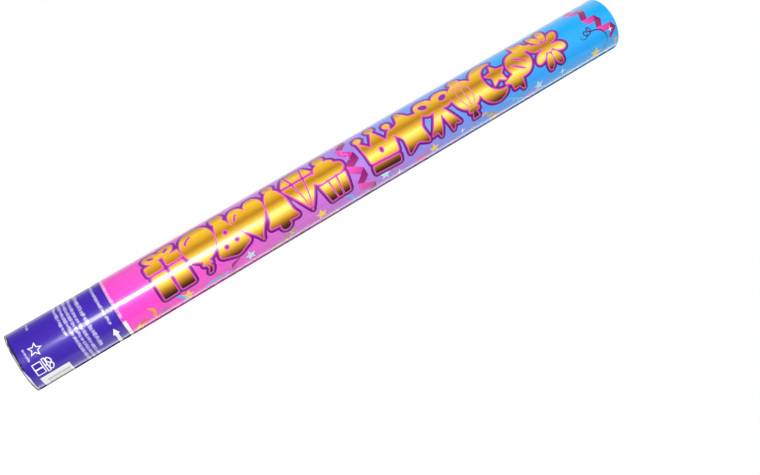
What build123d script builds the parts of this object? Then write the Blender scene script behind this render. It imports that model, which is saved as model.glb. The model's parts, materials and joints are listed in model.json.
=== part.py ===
from build123d import *

import math
import os

# Twist-fired confetti popper: a printed board barrel over a short printed grip that
# holds a bottle of compressed air. Turning the grip lets three balls of a ball lock run
# out along the ramps of a cam ring, the piston they held jumps up, and the air blows the
# wad and the paper slips out of the muzzle.
# Millimetres. The popper stands on its base: +Z is the barrel's axis, Z = 0 the base.

# ---- Driving dimensions: tubes and labels ----
outer_diameter = 52.0  # over the labels
overall_length = 600.0
grip_length = 82.3  # base to the middle of the open line between the tubes
joint_line = 0.4  # open line between the grip and the barrel
tube_wall = 1.6
label_thickness = 0.15
bare_edge = 2.6  # raw board below the grip's label

# ---- Driving dimensions: rooms between pieces, all on the radius ----
glue_room = 0.05
turn_room = 0.3
shot_room = 0.35
plug_room = 0.12
piston_room = 0.06
ball_room = 0.05
seal_room = 0.02

# ---- Driving dimensions: air bottle ----
base_recess = 5.0  # the bottle's foot above the base
band_height = 1.6  # glue bands that fill the way out to the grip's tube
band_width = 4.0
band_count = 3
bottle_wall = 2.2
foot_width = 3.0
foot_chamfer = 1.2
dome_rise = 5.5
dome_rib_count = 8
dome_rib_width = 1.6
shoulder_step = 2.4  # drop in radius from the bottle's side to its mouth
shoulder_height = 4.0
rim_height = 2.0

# ---- Driving dimensions: bottle head ----
deck_drop = 9.3  # deck of the head below the joint line
flange_thickness = 3.0
collar_height = 4.0
spigot_depth = 6.0
spigot_wall = 2.2
neck_wall = 2.5
neck_rib_count = 6
neck_rib_width = 1.6
neck_rib_reach = 5.5
neck_rib_height = 6.0
window_count = 4
window_width = 6.0
window_height = 5.5
seal_section = 1.6  # thickness of the rubber rings

# ---- Driving dimensions: ball lock ----
twist_angle = 60.0  # degrees from locked to released
ball_count = 3
ball_radius = 2.5
ball_bite = 2.2  # how deep a locked ball lies in the piston's stem
stem_radius = 4.9
piston_step = 2.04  # piston's land outside its stem
piston_lift = 7.0
piston_land = 5.0
piston_height = 4.5  # underside of the resting piston above the deck
cam_lip = 1.0
cam_wall = 2.3
cam_ear_width = 3.0
cam_ear_reach = 1.2

# ---- Driving dimensions: coupling and diffuser ----
coupling_wall = 1.6
boss_wall = 2.4
web_thickness = 3.0
web_drop = 5.5  # how far the spokes run down beside the cam ring
spoke_count = 6
spoke_width = 3.0
tab_count = 6
tab_slot = 3.0
tab_length = 8.5
hook_height = 2.2
hook_gap = 0.3
hook_reach = 1.6
stop_arc = 8.0  # degrees, width of each stop
stop_reach = 3.5
stop_setback = 0.5  # the head's lugs inside the edge of its flange
stop_height = 5.0
stop_gap = 0.3
diffuser_thickness = 2.5
diffuser_slot = 2.8
diffuser_slot_count = 6  # in the inner row; the outer row has twice as many
diffuser_hub = 3.8  # radius
diffuser_rib = 3.0
diffuser_rim = 3.5

# ---- Driving dimensions: charging valve in the bottle's floor ----
valve_radius = 4.0
valve_length = 16.0
valve_nipple_radius = 3.1
valve_nipple_length = 3.0
valve_flange_radius = 5.6
valve_flange_thickness = 1.4
valve_port_radius = 1.5
valve_chamber_radius = 2.9
valve_pin_radius = 0.8
valve_travel = 1.5
valve_disc_thickness = 1.2
valve_seal_thickness = 1.2
valve_seat_depth = 8.0  # nipple's mouth to the seat
retainer_thickness = 0.8
spring_wire = 0.5

# ---- Driving dimensions: charge and muzzle plug ----
foam_thickness = 10.0
card_thickness = 1.0
slip_length = 52.0
layer_count = 3
stack_corner = 31.0  # degrees, corner of the four inner stacks on the bore
slip_room = 0.1
plug_inset = 1.5
plug_card = 1.2
plug_rim = 10.0

# ---- Radii ----
outer_radius = outer_diameter / 2
tube_radius = outer_radius - label_thickness
bore_radius = tube_radius - tube_wall
glued_radius = bore_radius - glue_room
bottle_radius = glued_radius - band_height
mouth_radius = bottle_radius - shoulder_step - bottle_wall
collar_radius = bottle_radius - shoulder_step
skirt_radius = bore_radius - turn_room
skirt_bore = skirt_radius - coupling_wall
flange_radius = skirt_bore - turn_room
spigot_radius = mouth_radius - seal_room
piston_radius = stem_radius + piston_step
seal_bore = piston_radius + piston_room
neck_radius = seal_bore + neck_wall
cage_bore = stem_radius + piston_room
ball_rest = stem_radius + ball_radius - ball_bite
ball_travel = ball_bite + 4 * ball_room
cam_bore = ball_rest + ball_radius + ball_room
cage_radius = cam_bore - cam_lip / 2
ball_path = ball_radius + ball_room
cam_radius = cam_bore + ball_travel + cam_wall
boss_bore = cam_radius + glue_room
boss_radius = boss_bore + cam_ear_reach + boss_wall
charge_radius = bore_radius - shot_room
plug_radius = bore_radius - plug_room

# ---- Heights ----
line_low = grip_length - joint_line / 2
line_high = grip_length + joint_line / 2
deck = grip_length - deck_drop
flange_low = deck - flange_thickness
rim = flange_low - collar_height
spigot_low = rim - spigot_depth
skirt_low = flange_low - hook_gap - hook_height
dome_top = base_recess + dome_rise
piston_low = deck + piston_height
land_top = piston_low + piston_land
seal_height = piston_low + seal_section
window_low = seal_height + seal_section
neck_stop = land_top + piston_lift + turn_room
neck_top = neck_stop + cam_lip
cam_low = neck_top + turn_room
ball_height = cam_low + cam_lip + ball_path
cam_top = ball_height + ball_path + cam_lip
cage_top = cam_top + cam_lip
stem_top = cage_top
web_top = cam_top + web_thickness
coupling_top = stem_top + piston_lift + 2 * turn_room
diffuser_top = coupling_top + diffuser_thickness
foam_top = diffuser_top + foam_thickness
slips_low = foam_top + card_thickness
slips_top = slips_low + layer_count * slip_length
valve_low = base_recess
valve_seat = valve_low + valve_seat_depth
valve_top = valve_low + valve_length
retainer_low = valve_top - 2 * retainer_thickness
valve_disc_low = valve_seat + valve_seal_thickness
valve_disc_top = valve_disc_low + valve_disc_thickness

BALL_ANGLES = [90 + 360 / ball_count * index for index in range(ball_count)]
STOP_ANGLE = 0.0
SLIP_COLOURS = ("pink", "coral", "blue", "mint", "cream", "silver", "gold")


# ---- Small helpers ----
def ring(outer, inner, low, high):
    """A sleeve or washer about Z."""
    return Pos(0, 0, low) * extrude(Circle(outer) - Circle(inner), high - low)


def disc(radius, low, high):
    """A solid round about Z."""
    return Pos(0, 0, low) * extrude(Circle(radius), high - low)


def turned(*points):
    """A solid turned about Z from the corners (radius, height) of its half section."""
    outline = Plane.XZ * Polyline(*points, close=True)
    return revolve(make_face(outline), Axis.Z)


def rubber_ring(inner, outer, height):
    """A rubber ring squeezed to eight flats, just clear of its groove and the bore."""
    middle = (inner + outer) / 2
    flat = (outer - inner) / 2 - seal_room
    corner = flat / math.cos(math.pi / 8)
    turns = [math.pi / 8 * (2 * index + 1) for index in range(8)]
    points = [(middle + corner * math.cos(t), height + corner * math.sin(t)) for t in turns]
    return turned(*points)


def block(low_radius, high_radius, width, low, high, angle=0.0):
    """A straight bar that points away from Z at an angle."""
    bar = Box(high_radius - low_radius, width, high - low)
    middle = ((low_radius + high_radius) / 2, 0, (low + high) / 2)
    return Rot(0, 0, angle) * Pos(*middle) * bar


def arc_block(outer, inner, low, high, middle, arc):
    """Part of a ring that spans an arc of degrees about a middle angle."""
    half = math.radians(arc / 2)
    far = 1.2 * outer / math.cos(half)
    corners = [(0, 0), (far * math.cos(half), -far * math.sin(half))]
    corners.append((far * math.cos(half), far * math.sin(half)))
    wedge = extrude(make_face(Polyline(*corners, close=True)), high - low)
    return Rot(0, 0, middle) * (ring(outer, inner, low, high) & Pos(0, 0, low) * wedge)


def fuse(body, pieces):
    """One body with every piece of a list joined to it."""
    for piece in pieces:
        body += piece
    return body


def around(count):
    """Even angles round a circle, in degrees."""
    return [360 / count * index for index in range(count)]


# ---- Tubes and labels ----
def barrel_tube():
    return ring(tube_radius, bore_radius, line_high, overall_length)


def barrel_label():
    return ring(outer_radius, tube_radius, line_high, overall_length)


def grip_tube():
    return ring(tube_radius, bore_radius, 0, line_low)


def grip_label():
    return ring(outer_radius, tube_radius, bare_edge, line_low)


# ---- Air bottle ----
def bottle_section():
    """Half section of the bottle: foot, drawn-in floor, valve boss, side and mouth."""
    foot = base_recess
    foot_radius = bottle_radius - foot_chamfer
    floor_radius = foot_radius - foot_width
    boss = valve_radius + bottle_wall
    boss_low = foot + valve_nipple_length + valve_flange_thickness
    inner_radius = bottle_radius - bottle_wall
    outside = Polyline(
        (boss, dome_top),
        (boss, boss_low),
        (valve_radius, boss_low),
        (valve_radius, valve_top),
        (boss, valve_top),
        (boss, dome_top + bottle_wall),
    )
    inside_dome = RadiusArc(outside @ 1, (inner_radius, foot + foot_width), 2 * inner_radius)
    wall = Polyline(
        inside_dome @ 1,
        (inner_radius, rim - rim_height - shoulder_height),
        (mouth_radius, rim - rim_height),
        (mouth_radius, rim),
        (collar_radius, rim),
        (collar_radius, rim - rim_height),
        (bottle_radius, rim - rim_height - shoulder_height),
        (bottle_radius, foot + foot_chamfer),
        (foot_radius, foot),
        (floor_radius, foot),
    )
    outside_dome = RadiusArc(wall @ 1, outside @ 0, -2 * inner_radius)
    return Plane.XZ * make_face([outside, inside_dome, wall, outside_dome])


def bottle_bands():
    """The glue bands round the bottle, even along its straight side."""
    low = base_recess + foot_chamfer
    high = rim - rim_height - shoulder_height - band_width
    inner = bottle_radius - bottle_wall / 2
    steps = [low + (high - low) * (index + 0.5) / band_count for index in range(band_count)]
    return [ring(glued_radius, inner, step, step + band_width) for step in steps]


def floor_ribs():
    """Ribs under the drawn-in floor, from the valve boss to the foot."""
    inner = valve_radius + bottle_wall / 2
    outer = bottle_radius - foot_chamfer - foot_width / 2
    boss_low = base_recess + valve_nipple_length + valve_flange_thickness
    corners = [
        (inner, boss_low),
        (valve_flange_radius + turn_room, boss_low),
        (outer, base_recess + bottle_wall / 2),
        (outer, base_recess + bottle_wall),
        (inner, dome_top + bottle_wall / 2),
    ]
    face = Plane.XZ * make_face(Polyline(*corners, close=True))
    rib = extrude(face, dome_rib_width / 2, both=True)
    return [Rot(0, 0, angle) * rib for angle in around(dome_rib_count)]


def air_bottle():
    shell = revolve(bottle_section(), Axis.Z)
    return fuse(shell, bottle_bands() + floor_ribs())


# ---- Bottle head with its neck and ball cage ----
def head_section():
    """Closed half section of the head, up its bore and down its outside."""
    groove = spigot_low + spigot_depth / 2
    spigot_bore = spigot_radius - seal_section - spigot_wall
    return [
        (seal_bore, spigot_low),
        (seal_bore, neck_stop),
        (cage_bore, neck_stop),
        (cage_bore, cage_top),
        (cage_radius, cage_top),
        (cage_radius, neck_top),
        (neck_radius, neck_top),
        (neck_radius, deck),
        (flange_radius, deck),
        (flange_radius, flange_low),
        (collar_radius, flange_low),
        (collar_radius, rim),
        (spigot_radius, rim),
        (spigot_radius, groove + seal_section / 2),
        (spigot_radius - seal_section, groove + seal_section / 2),
        (spigot_radius - seal_section, groove - seal_section / 2),
        (spigot_radius, groove - seal_section / 2),
        (spigot_radius, spigot_low),
        (spigot_bore, spigot_low),
        (spigot_bore, flange_low),
        (neck_radius, flange_low),
        (neck_radius, spigot_low),
    ]


def neck_ribs():
    """Gussets that carry the neck on the deck."""
    corners = [
        (neck_radius - neck_wall / 2, deck - flange_thickness / 2),
        (neck_radius + neck_rib_reach, deck - flange_thickness / 2),
        (neck_radius + neck_rib_reach, deck),
        (neck_radius, deck + neck_rib_height),
        (neck_radius - neck_wall / 2, deck + neck_rib_height),
    ]
    face = Plane.XZ * make_face(Polyline(*corners, close=True))
    rib = extrude(face, neck_rib_width / 2, both=True)
    return [Rot(0, 0, angle) * rib for angle in around(neck_rib_count)]


def head_stops():
    """The two lugs that end the twist, one each side of the coupling's stop."""
    inner = flange_radius - stop_reach
    outer = flange_radius - stop_setback
    gap = stop_arc + math.degrees(2 * stop_gap / (inner + outer))
    angles = (STOP_ANGLE - gap, STOP_ANGLE + gap + twist_angle)
    high = deck + turn_room + stop_height
    return [arc_block(outer, inner, deck, high, angle, stop_arc) for angle in angles]


def bottle_head():
    head = fuse(turned(*head_section()), neck_ribs() + head_stops())
    for angle in around(window_count):
        high = window_low + window_height
        turn = angle + 180 / window_count
        head -= block(stem_radius, neck_radius + neck_wall, window_width, window_low, high, turn)
    for angle in BALL_ANGLES:
        hole = Pos(0, 0, ball_height) * Rot(0, 90, 0) * Cylinder(ball_path, 2 * cam_radius)
        half = hole & Pos(cam_radius, 0, ball_height) * Box(2 * cam_radius, 20, 20)
        head -= Rot(0, 0, angle) * half
    return head


def head_seal():
    inner = spigot_radius - seal_section
    return rubber_ring(inner, mouth_radius, spigot_low + spigot_depth / 2)


# ---- Piston and balls ----
def piston_section():
    """Half section of the piston, with the neck that a ball needs on its way out.

    While the piston rises by its lift, each ball moves out by its travel. Seen from the
    piston the ball runs down a slope, so the stem's groove is the ball's own round, with
    a cone below it that stays one ball radius from that slope.
    """
    slope = math.hypot(ball_travel, piston_lift)
    along = Vector(ball_travel / slope, -piston_lift / slope)
    centre = Vector(ball_rest, ball_height)
    touch = centre + Vector(along.Y, -along.X) * ball_path
    cone_low = touch + along * ((stem_radius - touch.X) / along.X)
    lip_rise = math.sqrt(ball_path**2 - (ball_rest - stem_radius) ** 2)
    lip = Vector(stem_radius, ball_height + lip_rise)
    deepest = centre - Vector(ball_path, 0)
    groove_radius = piston_radius - seal_section + seal_room
    groove_low = seal_height - seal_section / 2
    groove_high = seal_height + seal_section / 2
    low_side = Polyline(
        (0, stem_top),
        (0, piston_low + piston_land / 2),
        (stem_radius - seal_section, piston_low + piston_land / 2),
        (stem_radius - seal_section, piston_low),
        (piston_radius, piston_low),
        (piston_radius, groove_low),
        (groove_radius, groove_low),
        (groove_radius, groove_high),
        (piston_radius, groove_high),
        (piston_radius, land_top),
        (stem_radius, land_top),
        cone_low,
        touch,
    )
    groove = ThreePointArc(touch, deepest, lip)
    high_side = Polyline(
        lip,
        (stem_radius, stem_top - piston_room * 10),
        (stem_radius - piston_room * 10, stem_top),
        (0, stem_top),
    )
    return Plane.XZ * make_face([low_side, groove, high_side])


def release_piston():
    return revolve(piston_section(), Axis.Z)


def piston_seal():
    return rubber_ring(piston_radius - seal_section + seal_room, seal_bore, seal_height)


def lock_ball(angle):
    return Rot(0, 0, angle) * Pos(ball_rest, 0, ball_height) * Sphere(ball_radius)


# ---- Cam ring ----
def ramp_point(share):
    """Centre of a ball and the outward normal of its path, at a share of the twist.

    The path is an Archimedean spiral seen from the barrel: the ball moves out evenly
    while the grip turns it clockwise.
    """
    turn = math.radians(twist_angle)
    radius = ball_rest + ball_travel * share
    angle = -turn * share
    outward = Vector(math.cos(angle), math.sin(angle))
    sideways = Vector(math.sin(angle), -math.cos(angle))
    path = outward * ball_travel + sideways * (radius * turn)
    normal = Vector(-path.Y, path.X).normalized()
    return outward * radius, normal


def ramp_pocket():
    """Plan of the room that one ball sweeps: an even offset of its spiral path."""
    points_on_ramp = 9
    rows = [ramp_point(index / (points_on_ramp - 1)) for index in range(points_on_ramp)]
    outer = [centre + normal * ball_path for centre, normal in rows]
    start, start_normal = rows[0]
    end, end_normal = rows[-1]
    ahead = Vector(end_normal.Y, -end_normal.X)
    ramp = Spline(*outer)
    inner_end = end - end_normal * ball_path
    nose = ThreePointArc(outer[-1], end + ahead * ball_path, inner_end)
    back = Polyline(inner_end, start - start_normal * ball_path, outer[0])
    return make_face([ramp, nose, back])


def ear(reach_room=0.0, side_room=0.0):
    """Plan of one ear that keys the cam ring in the coupling."""
    reach = cam_radius + cam_ear_reach + reach_room
    return Pos(reach / 2, 0) * Rectangle(reach, cam_ear_width + 2 * side_room)


def cam_ring():
    plan = Circle(cam_radius)
    for angle in BALL_ANGLES:
        plan += Rot(0, 0, angle + 180) * ear()
    plan -= Circle(cam_bore)
    for angle in BALL_ANGLES:
        plan -= Rot(0, 0, angle) * ramp_pocket()
    return Pos(0, 0, cam_low) * extrude(plan, cam_top - cam_low)


# ---- Coupling that carries the barrel on the bottle head ----
def coupling_sleeve():
    """The sleeve glued in the barrel, its turning skirt and the hook rim inside it."""
    hook_radius = flange_radius - hook_reach
    hook_low = skirt_low + hook_height / 2
    hook_high = skirt_low + hook_height
    return turned(
        (skirt_bore, coupling_top),
        (skirt_bore, hook_high),
        (hook_radius, hook_high),
        (hook_radius, hook_low),
        (skirt_bore, skirt_low),
        (skirt_radius, skirt_low),
        (skirt_radius, line_high),
        (glued_radius, line_high),
        (glued_radius, coupling_top),
    )


def coupling_boss():
    """The cup that holds the cam ring, open below, with the stem's hole above."""
    cup = disc(boss_radius, cam_low, web_top)
    pocket = Circle(boss_bore)
    for angle in BALL_ANGLES:
        pocket += Rot(0, 0, angle + 180) * ear(glue_room, glue_room)
    cup -= Pos(0, 0, cam_low) * extrude(pocket, cam_top - cam_low)
    return cup - disc(cage_radius + turn_room, cam_top, web_top)


def coupling():
    body = coupling_sleeve()
    low = web_top - web_thickness - web_drop
    middle = boss_radius - boss_wall / 2
    far = skirt_bore + coupling_wall / 2
    spokes = [block(middle, far, spoke_width, low, web_top, angle) for angle in around(spoke_count)]
    body = fuse(body + coupling_boss(), spokes)
    for angle in around(tab_count):
        turn = angle + 180 / tab_count
        body -= block(
            collar_radius, outer_radius, tab_slot, skirt_low, skirt_low + tab_length, turn
        )
    outer = skirt_bore + coupling_wall / 2
    inner = flange_radius - stop_reach
    low = deck + turn_room
    return body + arc_block(outer, inner, low, low + stop_height, STOP_ANGLE, stop_arc)


def diffuser_plate():
    """A round plate with an inner and an outer row of radial slots."""
    plate = disc(glued_radius, coupling_top, diffuser_top)
    far = glued_radius - diffuser_rim
    middle = (diffuser_hub + far) / 2
    rows = [(diffuser_slot_count, diffuser_hub, middle - diffuser_rib / 2)]
    rows.append((2 * diffuser_slot_count, middle + diffuser_rib / 2, far))
    for count, low, high in rows:
        for angle in around(count):
            plate -= block(low, high, diffuser_slot, coupling_top, diffuser_top, angle)
    return plate


# ---- Charging valve ----
def valve_body():
    flange_low_z = valve_low + valve_nipple_length
    flange_high_z = flange_low_z + valve_flange_thickness
    body = turned(
        (valve_port_radius, valve_low),
        (valve_nipple_radius, valve_low),
        (valve_nipple_radius, flange_low_z),
        (valve_radius, flange_low_z),
        (valve_radius, valve_top),
        (valve_chamber_radius, valve_top),
        (valve_chamber_radius, valve_seat),
        (valve_port_radius, valve_seat),
    )
    plan = RegularPolygon(valve_flange_radius, 6) - Circle(valve_radius)
    return body + Pos(0, 0, flange_low_z) * extrude(plan, flange_high_z - flange_low_z)


def valve_core():
    pin = disc(valve_pin_radius, valve_low + valve_travel / 2, retainer_low)
    plunger_radius = valve_chamber_radius - turn_room
    return pin + disc(plunger_radius, valve_disc_low, valve_disc_top)


def valve_seal():
    outer = valve_chamber_radius - turn_room
    return ring(outer, valve_pin_radius, valve_seat, valve_disc_low)


def valve_spring():
    """The return spring, as the plain sleeve that its coils fill."""
    inner = valve_pin_radius + turn_room
    return ring(inner + spring_wire, inner, valve_disc_top, retainer_low)


def valve_retainer():
    outer = valve_chamber_radius - seal_room
    inner = valve_pin_radius + ball_room
    plate = ring(outer, inner, retainer_low, retainer_low + retainer_thickness)
    for angle in around(3):
        plate -= block(
            inner + spring_wire, 2 * outer, spring_wire, retainer_low, valve_top, angle
        )
    return plate


# ---- Charge ----
def foam_wad():
    return disc(charge_radius, diffuser_top, foam_top)


def wad_card():
    return disc(charge_radius, foam_top, slips_low)


def stack_plan():
    """Centre and size, across and through, of each stack of slips in one layer."""
    packed = charge_radius - slip_room
    width = packed * math.cos(math.radians(stack_corner))
    depth = packed * math.sin(math.radians(stack_corner))
    crown = math.sqrt(packed**2 - (width / 2) ** 2) - depth
    inner = [(side * width / 2, row * depth / 2, depth) for side in (-1, 1) for row in (-1, 1)]
    outer = [(0, row * (depth + crown / 2), crown) for row in (-1, 1)]
    return [(x, y, width - slip_room, through) for x, y, through in inner + outer]


def slip_bunches():
    """Each bunch of slips of one colour, as (colour, solid): two bunches to a stack."""
    bunches = []
    for layer in range(layer_count):
        low = slips_low + layer * slip_length
        for x, y, width, through in stack_plan():
            for half in (-1, 1):
                centre = (x, y + half * through / 4, low + slip_length / 2)
                size = (width, through / 2 - slip_room, slip_length)
                colour = SLIP_COLOURS[(3 * len(bunches) + layer) % len(SLIP_COLOURS)]
                bunches.append((colour, Pos(*centre) * Box(*size)))
    return bunches


def confetti(colour):
    return Compound(children=[solid for name, solid in slip_bunches() if name == colour])


def charge_cover():
    return disc(charge_radius, slips_top, slips_top + card_thickness)


# ---- Muzzle plug ----
def muzzle_plug():
    """A card cup pressed into the muzzle, closed side out."""
    high = overall_length - plug_inset
    low = high - plug_rim
    return ring(plug_radius, plug_radius - plug_card, low, high) + disc(
        plug_radius, high - plug_card, high
    )


def nodes():
    """Every piece by name."""
    pieces = {
        "barrel_tube": barrel_tube(),
        "barrel_label": barrel_label(),
        "coupling": coupling(),
        "cam_ring": cam_ring(),
        "diffuser_plate": diffuser_plate(),
        "grip_tube": grip_tube(),
        "grip_label": grip_label(),
        "air_bottle": air_bottle(),
        "bottle_head": bottle_head(),
        "head_seal": head_seal(),
        "release_piston": release_piston(),
        "piston_seal": piston_seal(),
        "valve_body": valve_body(),
        "valve_core": valve_core(),
        "valve_seal": valve_seal(),
        "valve_spring": valve_spring(),
        "valve_retainer": valve_retainer(),
        "foam_wad": foam_wad(),
        "wad_card": wad_card(),
        "charge_cover": charge_cover(),
        "muzzle_plug": muzzle_plug(),
    }
    for number, angle in enumerate(BALL_ANGLES, start=1):
        pieces[f"lock_ball_{number}"] = lock_ball(angle)
    for colour in SLIP_COLOURS:
        pieces[f"slips_{colour}"] = confetti(colour)
    return pieces


os.makedirs("parts", exist_ok=True)
for name, piece in nodes().items():
    export_step(piece, f"parts/{name}.step")
print("ball travel", round(ball_travel, 3), "piston lift", piston_lift, "twist", twist_angle)
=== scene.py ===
"""A twist-fired confetti popper: the dressed model, its floor, lights and camera.

Flat artwork is drawn in millimetres as (x, t): x runs up the tube from its base, t runs round it.
t is zero on the side that faces the camera and grows towards -X.
"""

import json
import random
from math import cos, exp, pi, radians, sin

import bmesh
import bpy
import numpy as np
from mathutils import Matrix, Vector
from mathutils.geometry import delaunay_2d_cdt


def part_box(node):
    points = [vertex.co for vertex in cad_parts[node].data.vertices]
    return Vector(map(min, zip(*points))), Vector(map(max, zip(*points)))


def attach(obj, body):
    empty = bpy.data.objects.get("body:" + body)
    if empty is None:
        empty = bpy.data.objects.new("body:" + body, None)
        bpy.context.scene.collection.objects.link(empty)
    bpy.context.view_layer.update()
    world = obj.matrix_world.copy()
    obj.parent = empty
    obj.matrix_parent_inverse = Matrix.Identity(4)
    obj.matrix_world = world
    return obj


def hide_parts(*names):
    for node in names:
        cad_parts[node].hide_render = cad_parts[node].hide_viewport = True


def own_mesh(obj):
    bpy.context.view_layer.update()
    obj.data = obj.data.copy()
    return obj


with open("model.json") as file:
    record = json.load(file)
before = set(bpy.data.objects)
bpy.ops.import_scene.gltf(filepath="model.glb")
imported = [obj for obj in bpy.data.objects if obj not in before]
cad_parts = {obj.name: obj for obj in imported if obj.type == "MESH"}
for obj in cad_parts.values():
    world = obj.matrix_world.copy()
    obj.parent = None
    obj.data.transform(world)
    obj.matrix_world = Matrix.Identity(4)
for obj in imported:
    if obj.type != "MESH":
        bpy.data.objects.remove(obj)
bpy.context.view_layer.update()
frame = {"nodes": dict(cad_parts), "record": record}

MM = 0.001
scene = bpy.context.scene


def span(node):
    """Lowest and highest corner of a CAD node in millimetres."""
    low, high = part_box(node)
    return np.array(low) / MM, np.array(high) / MM


# ---- Sizes, in millimetres ----
LABEL_LOW, LABEL_HIGH = span("barrel_label")
JOINT_LOW, JOINT_HIGH = float(span("grip_label")[1][2]), float(LABEL_LOW[2])
MUZZLE = float(LABEL_HIGH[2])
OVER_RADIUS = float(LABEL_HIGH[0])  # where the wrap overlaps itself
PAPER_RADIUS = OVER_RADIUS - 0.07
TUBE_RADIUS = float(span("barrel_tube")[1][0])

PER_DEGREE = radians(1) * OVER_RADIUS
TURN = 360 * PER_DEGREE
SEAM_ANGLE = 106  # degrees from the side that faces the camera
SEAM = SEAM_ANGLE * PER_DEGREE
SEAM_STEP = 0.2  # how far the sheet's low end stops short of its high end
SHEET_LOW, SHEET_HIGH = SEAM - TURN + SEAM_STEP, SEAM  # the sheet's ends, round the tube
INK_MARGIN = 0.3  # what is printed stops this far from the sheet's ends
FLAP, FLAP_RISE = 7, 1.4  # how far the wrap overlaps itself, and the slope at the flap's start
CELL = 3  # degrees between the lines along the tube
RING_GAP = 20  # between the lines round it
BAND_LOW, BAND_HIGH = -15, 30  # the row of gold motifs
BACK_ROW, BACK_LIFT = 180 * PER_DEGREE, 15


def to_back(t):
    """The place on the back that answers to t on the front."""
    return t - BACK_ROW + BACK_LIFT


# ---- Colours ----
def linear(rgb):
    """0-255 screen colour as linear light."""
    value = np.asarray(rgb, float) / 255
    return np.where(value <= 0.04045, value / 12.92, ((value + 0.055) / 1.055) ** 2.4)


def ramp(stops, at):
    """Colour between (place, rgb) stops, mixed as printed ink is on screen."""
    places = [place for place, _ in stops]
    rgb = np.array([colour for _, colour in stops], float)
    at = np.asarray(at, float)
    return linear(np.stack([np.interp(at, places, rgb[:, k]) for k in range(3)], -1))


SKY = [
    (82, (255, 70, 204)), (120, (246, 82, 200)), (230, (208, 108, 208)),
    (300, (182, 124, 222)), (390, (120, 150, 242)), (480, (56, 165, 253)),
    (600, (6, 180, 255)),
]
GOLD = [
    (0.00, (34, 8, 12)), (0.05, (76, 32, 10)), (0.13, (156, 98, 14)), (0.22, (222, 170, 36)),
    (0.31, (255, 226, 86)), (0.37, (255, 238, 118)), (0.44, (238, 186, 40)),
    (0.56, (178, 120, 14)), (0.66, (222, 166, 26)), (0.80, (246, 198, 46)),
    (0.92, (208, 152, 34)), (1.00, (160, 112, 36)),
]
PURPLE_EDGE = [(0, (88, 24, 108)), (0.5, (118, 40, 144)), (1, (112, 46, 136))]
MAGENTA_EDGE = [(0, (190, 40, 160)), (0.4, (235, 62, 180)), (1, (175, 60, 165))]
ROSE_EDGE = [(0, (255, 120, 205)), (1, (250, 130, 200))]
INDIGO = (65, 34, 177)
WHITE = (255, 255, 255)
PAPER = (236, 232, 228)
SMALL_PRINT = (226, 218, 246)
# curled ribbons' light and dark
ROSE = (246, 76, 190), (126, 14, 98)
LIME = (176, 208, 66), (122, 158, 40)
AMBER = (246, 190, 84), (206, 142, 50)
CYAN = (96, 180, 250)
YELLOW, ICE, CORAL, GREEN = (252, 214, 60), (188, 234, 240), (244, 92, 84), (98, 140, 110)
ORANGE, NAVY, PALE_PINK, TEAL = (250, 158, 70), (66, 42, 120), (240, 120, 190), (120, 214, 226)


# ---- Flat outlines: lists of (x, t) points in millimetres ----
def spun(x, t, u, v, degrees):
    """(x, t) moved by (u, v), which is first turned by that angle."""
    c, s = cos(radians(degrees)), sin(radians(degrees))
    return x + u * c - v * s, t + u * s + v * c


def oval(cx, cy, rx, ry=None, tilt=0, count=26):
    ry = rx if ry is None else ry
    angles = [2 * pi * k / count for k in range(count)]
    return [spun(cx, cy, rx * cos(a), ry * sin(a), tilt) for a in angles]


def arc_of(cx, cy, rx, ry, angles):
    return [(cx + rx * cos(a), cy + ry * sin(a)) for a in angles]


def star(cx, cy, outer, inner, count=5, turn=90):
    made = []
    for k in range(2 * count):
        r = inner if k % 2 else outer
        made += arc_of(cx, cy, r, r, [radians(turn + 180 * k / count)])
    return made


def mirrored(points, width):
    return [(width - u, v) for u, v in points]


def rect(x0, t0, x1, t1):
    return [(x0, t0), (x1, t0), (x1, t1), (x0, t1)]


def soft(points, radius=1.6):
    """The polygon with its corners rounded off."""
    made = []
    total = len(points)
    for k in range(total):
        before, corner, after = (Vector(points[(k + j) % total]) for j in (-1, 0, 1))
        to_before, to_after = before - corner, after - corner
        reach = min(radius, 0.45 * to_before.length, 0.45 * to_after.length)
        start = corner + to_before.normalized() * reach
        end = corner + to_after.normalized() * reach
        for u in (0, 0.25, 0.5, 0.75, 1):
            made.append(tuple(start * (1 - u) ** 2 + corner * 2 * u * (1 - u) + end * u * u))
    return made


def moved(points, x, t, scale=1, tilt=0, stretch=1):
    return [spun(x, t, u * scale * stretch, v * scale, tilt) for u, v in points]


def sector(cx, cy, inner, outer, start, end):
    """A bent band between two radii and two angles."""
    angles = [radians(start + (end - start) * k / 10) for k in range(11)]
    return arc_of(cx, cy, outer, outer, angles) + arc_of(cx, cy, inner, inner, angles)[::-1]


# ---- The gold motifs: each gives (width, filled outlines, holes) in a box 45 high ----
def motif_star():
    return 35, [soft(moved(star(0, 0, 24.5, 13.2), 17.5, 20.5, stretch=0.78), 3)], []


def motif_hat():
    cone = soft([(0, 7), (15, 1), (30, 7), (18.5, 37), (11.5, 37)], 3)
    dots = [oval(9.5, 12.5, 2.5), oval(20, 13.5, 2.5), oval(15, 23.5, 2.5)]
    return 30, [cone, oval(15, 39.5, 5.4)], dots


def motif_gift():
    halves = [soft(rect(u, 0, u + 12.6, 21.5)) for u in (1.2, 17.2)]
    lid = [soft(rect(u, 24, u + 13.6, 32)) for u in (0, 17.4)]
    loops = [oval(9.2, 37.8, 7.4, 5.4, -24), oval(21.8, 37.8, 7.4, 5.4, 24)]
    holes = [oval(8.6, 38.2, 3.4, 1.9, -24), oval(22.4, 38.2, 3.4, 1.9, 24)]
    return 31, halves + lid + loops, holes


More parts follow.
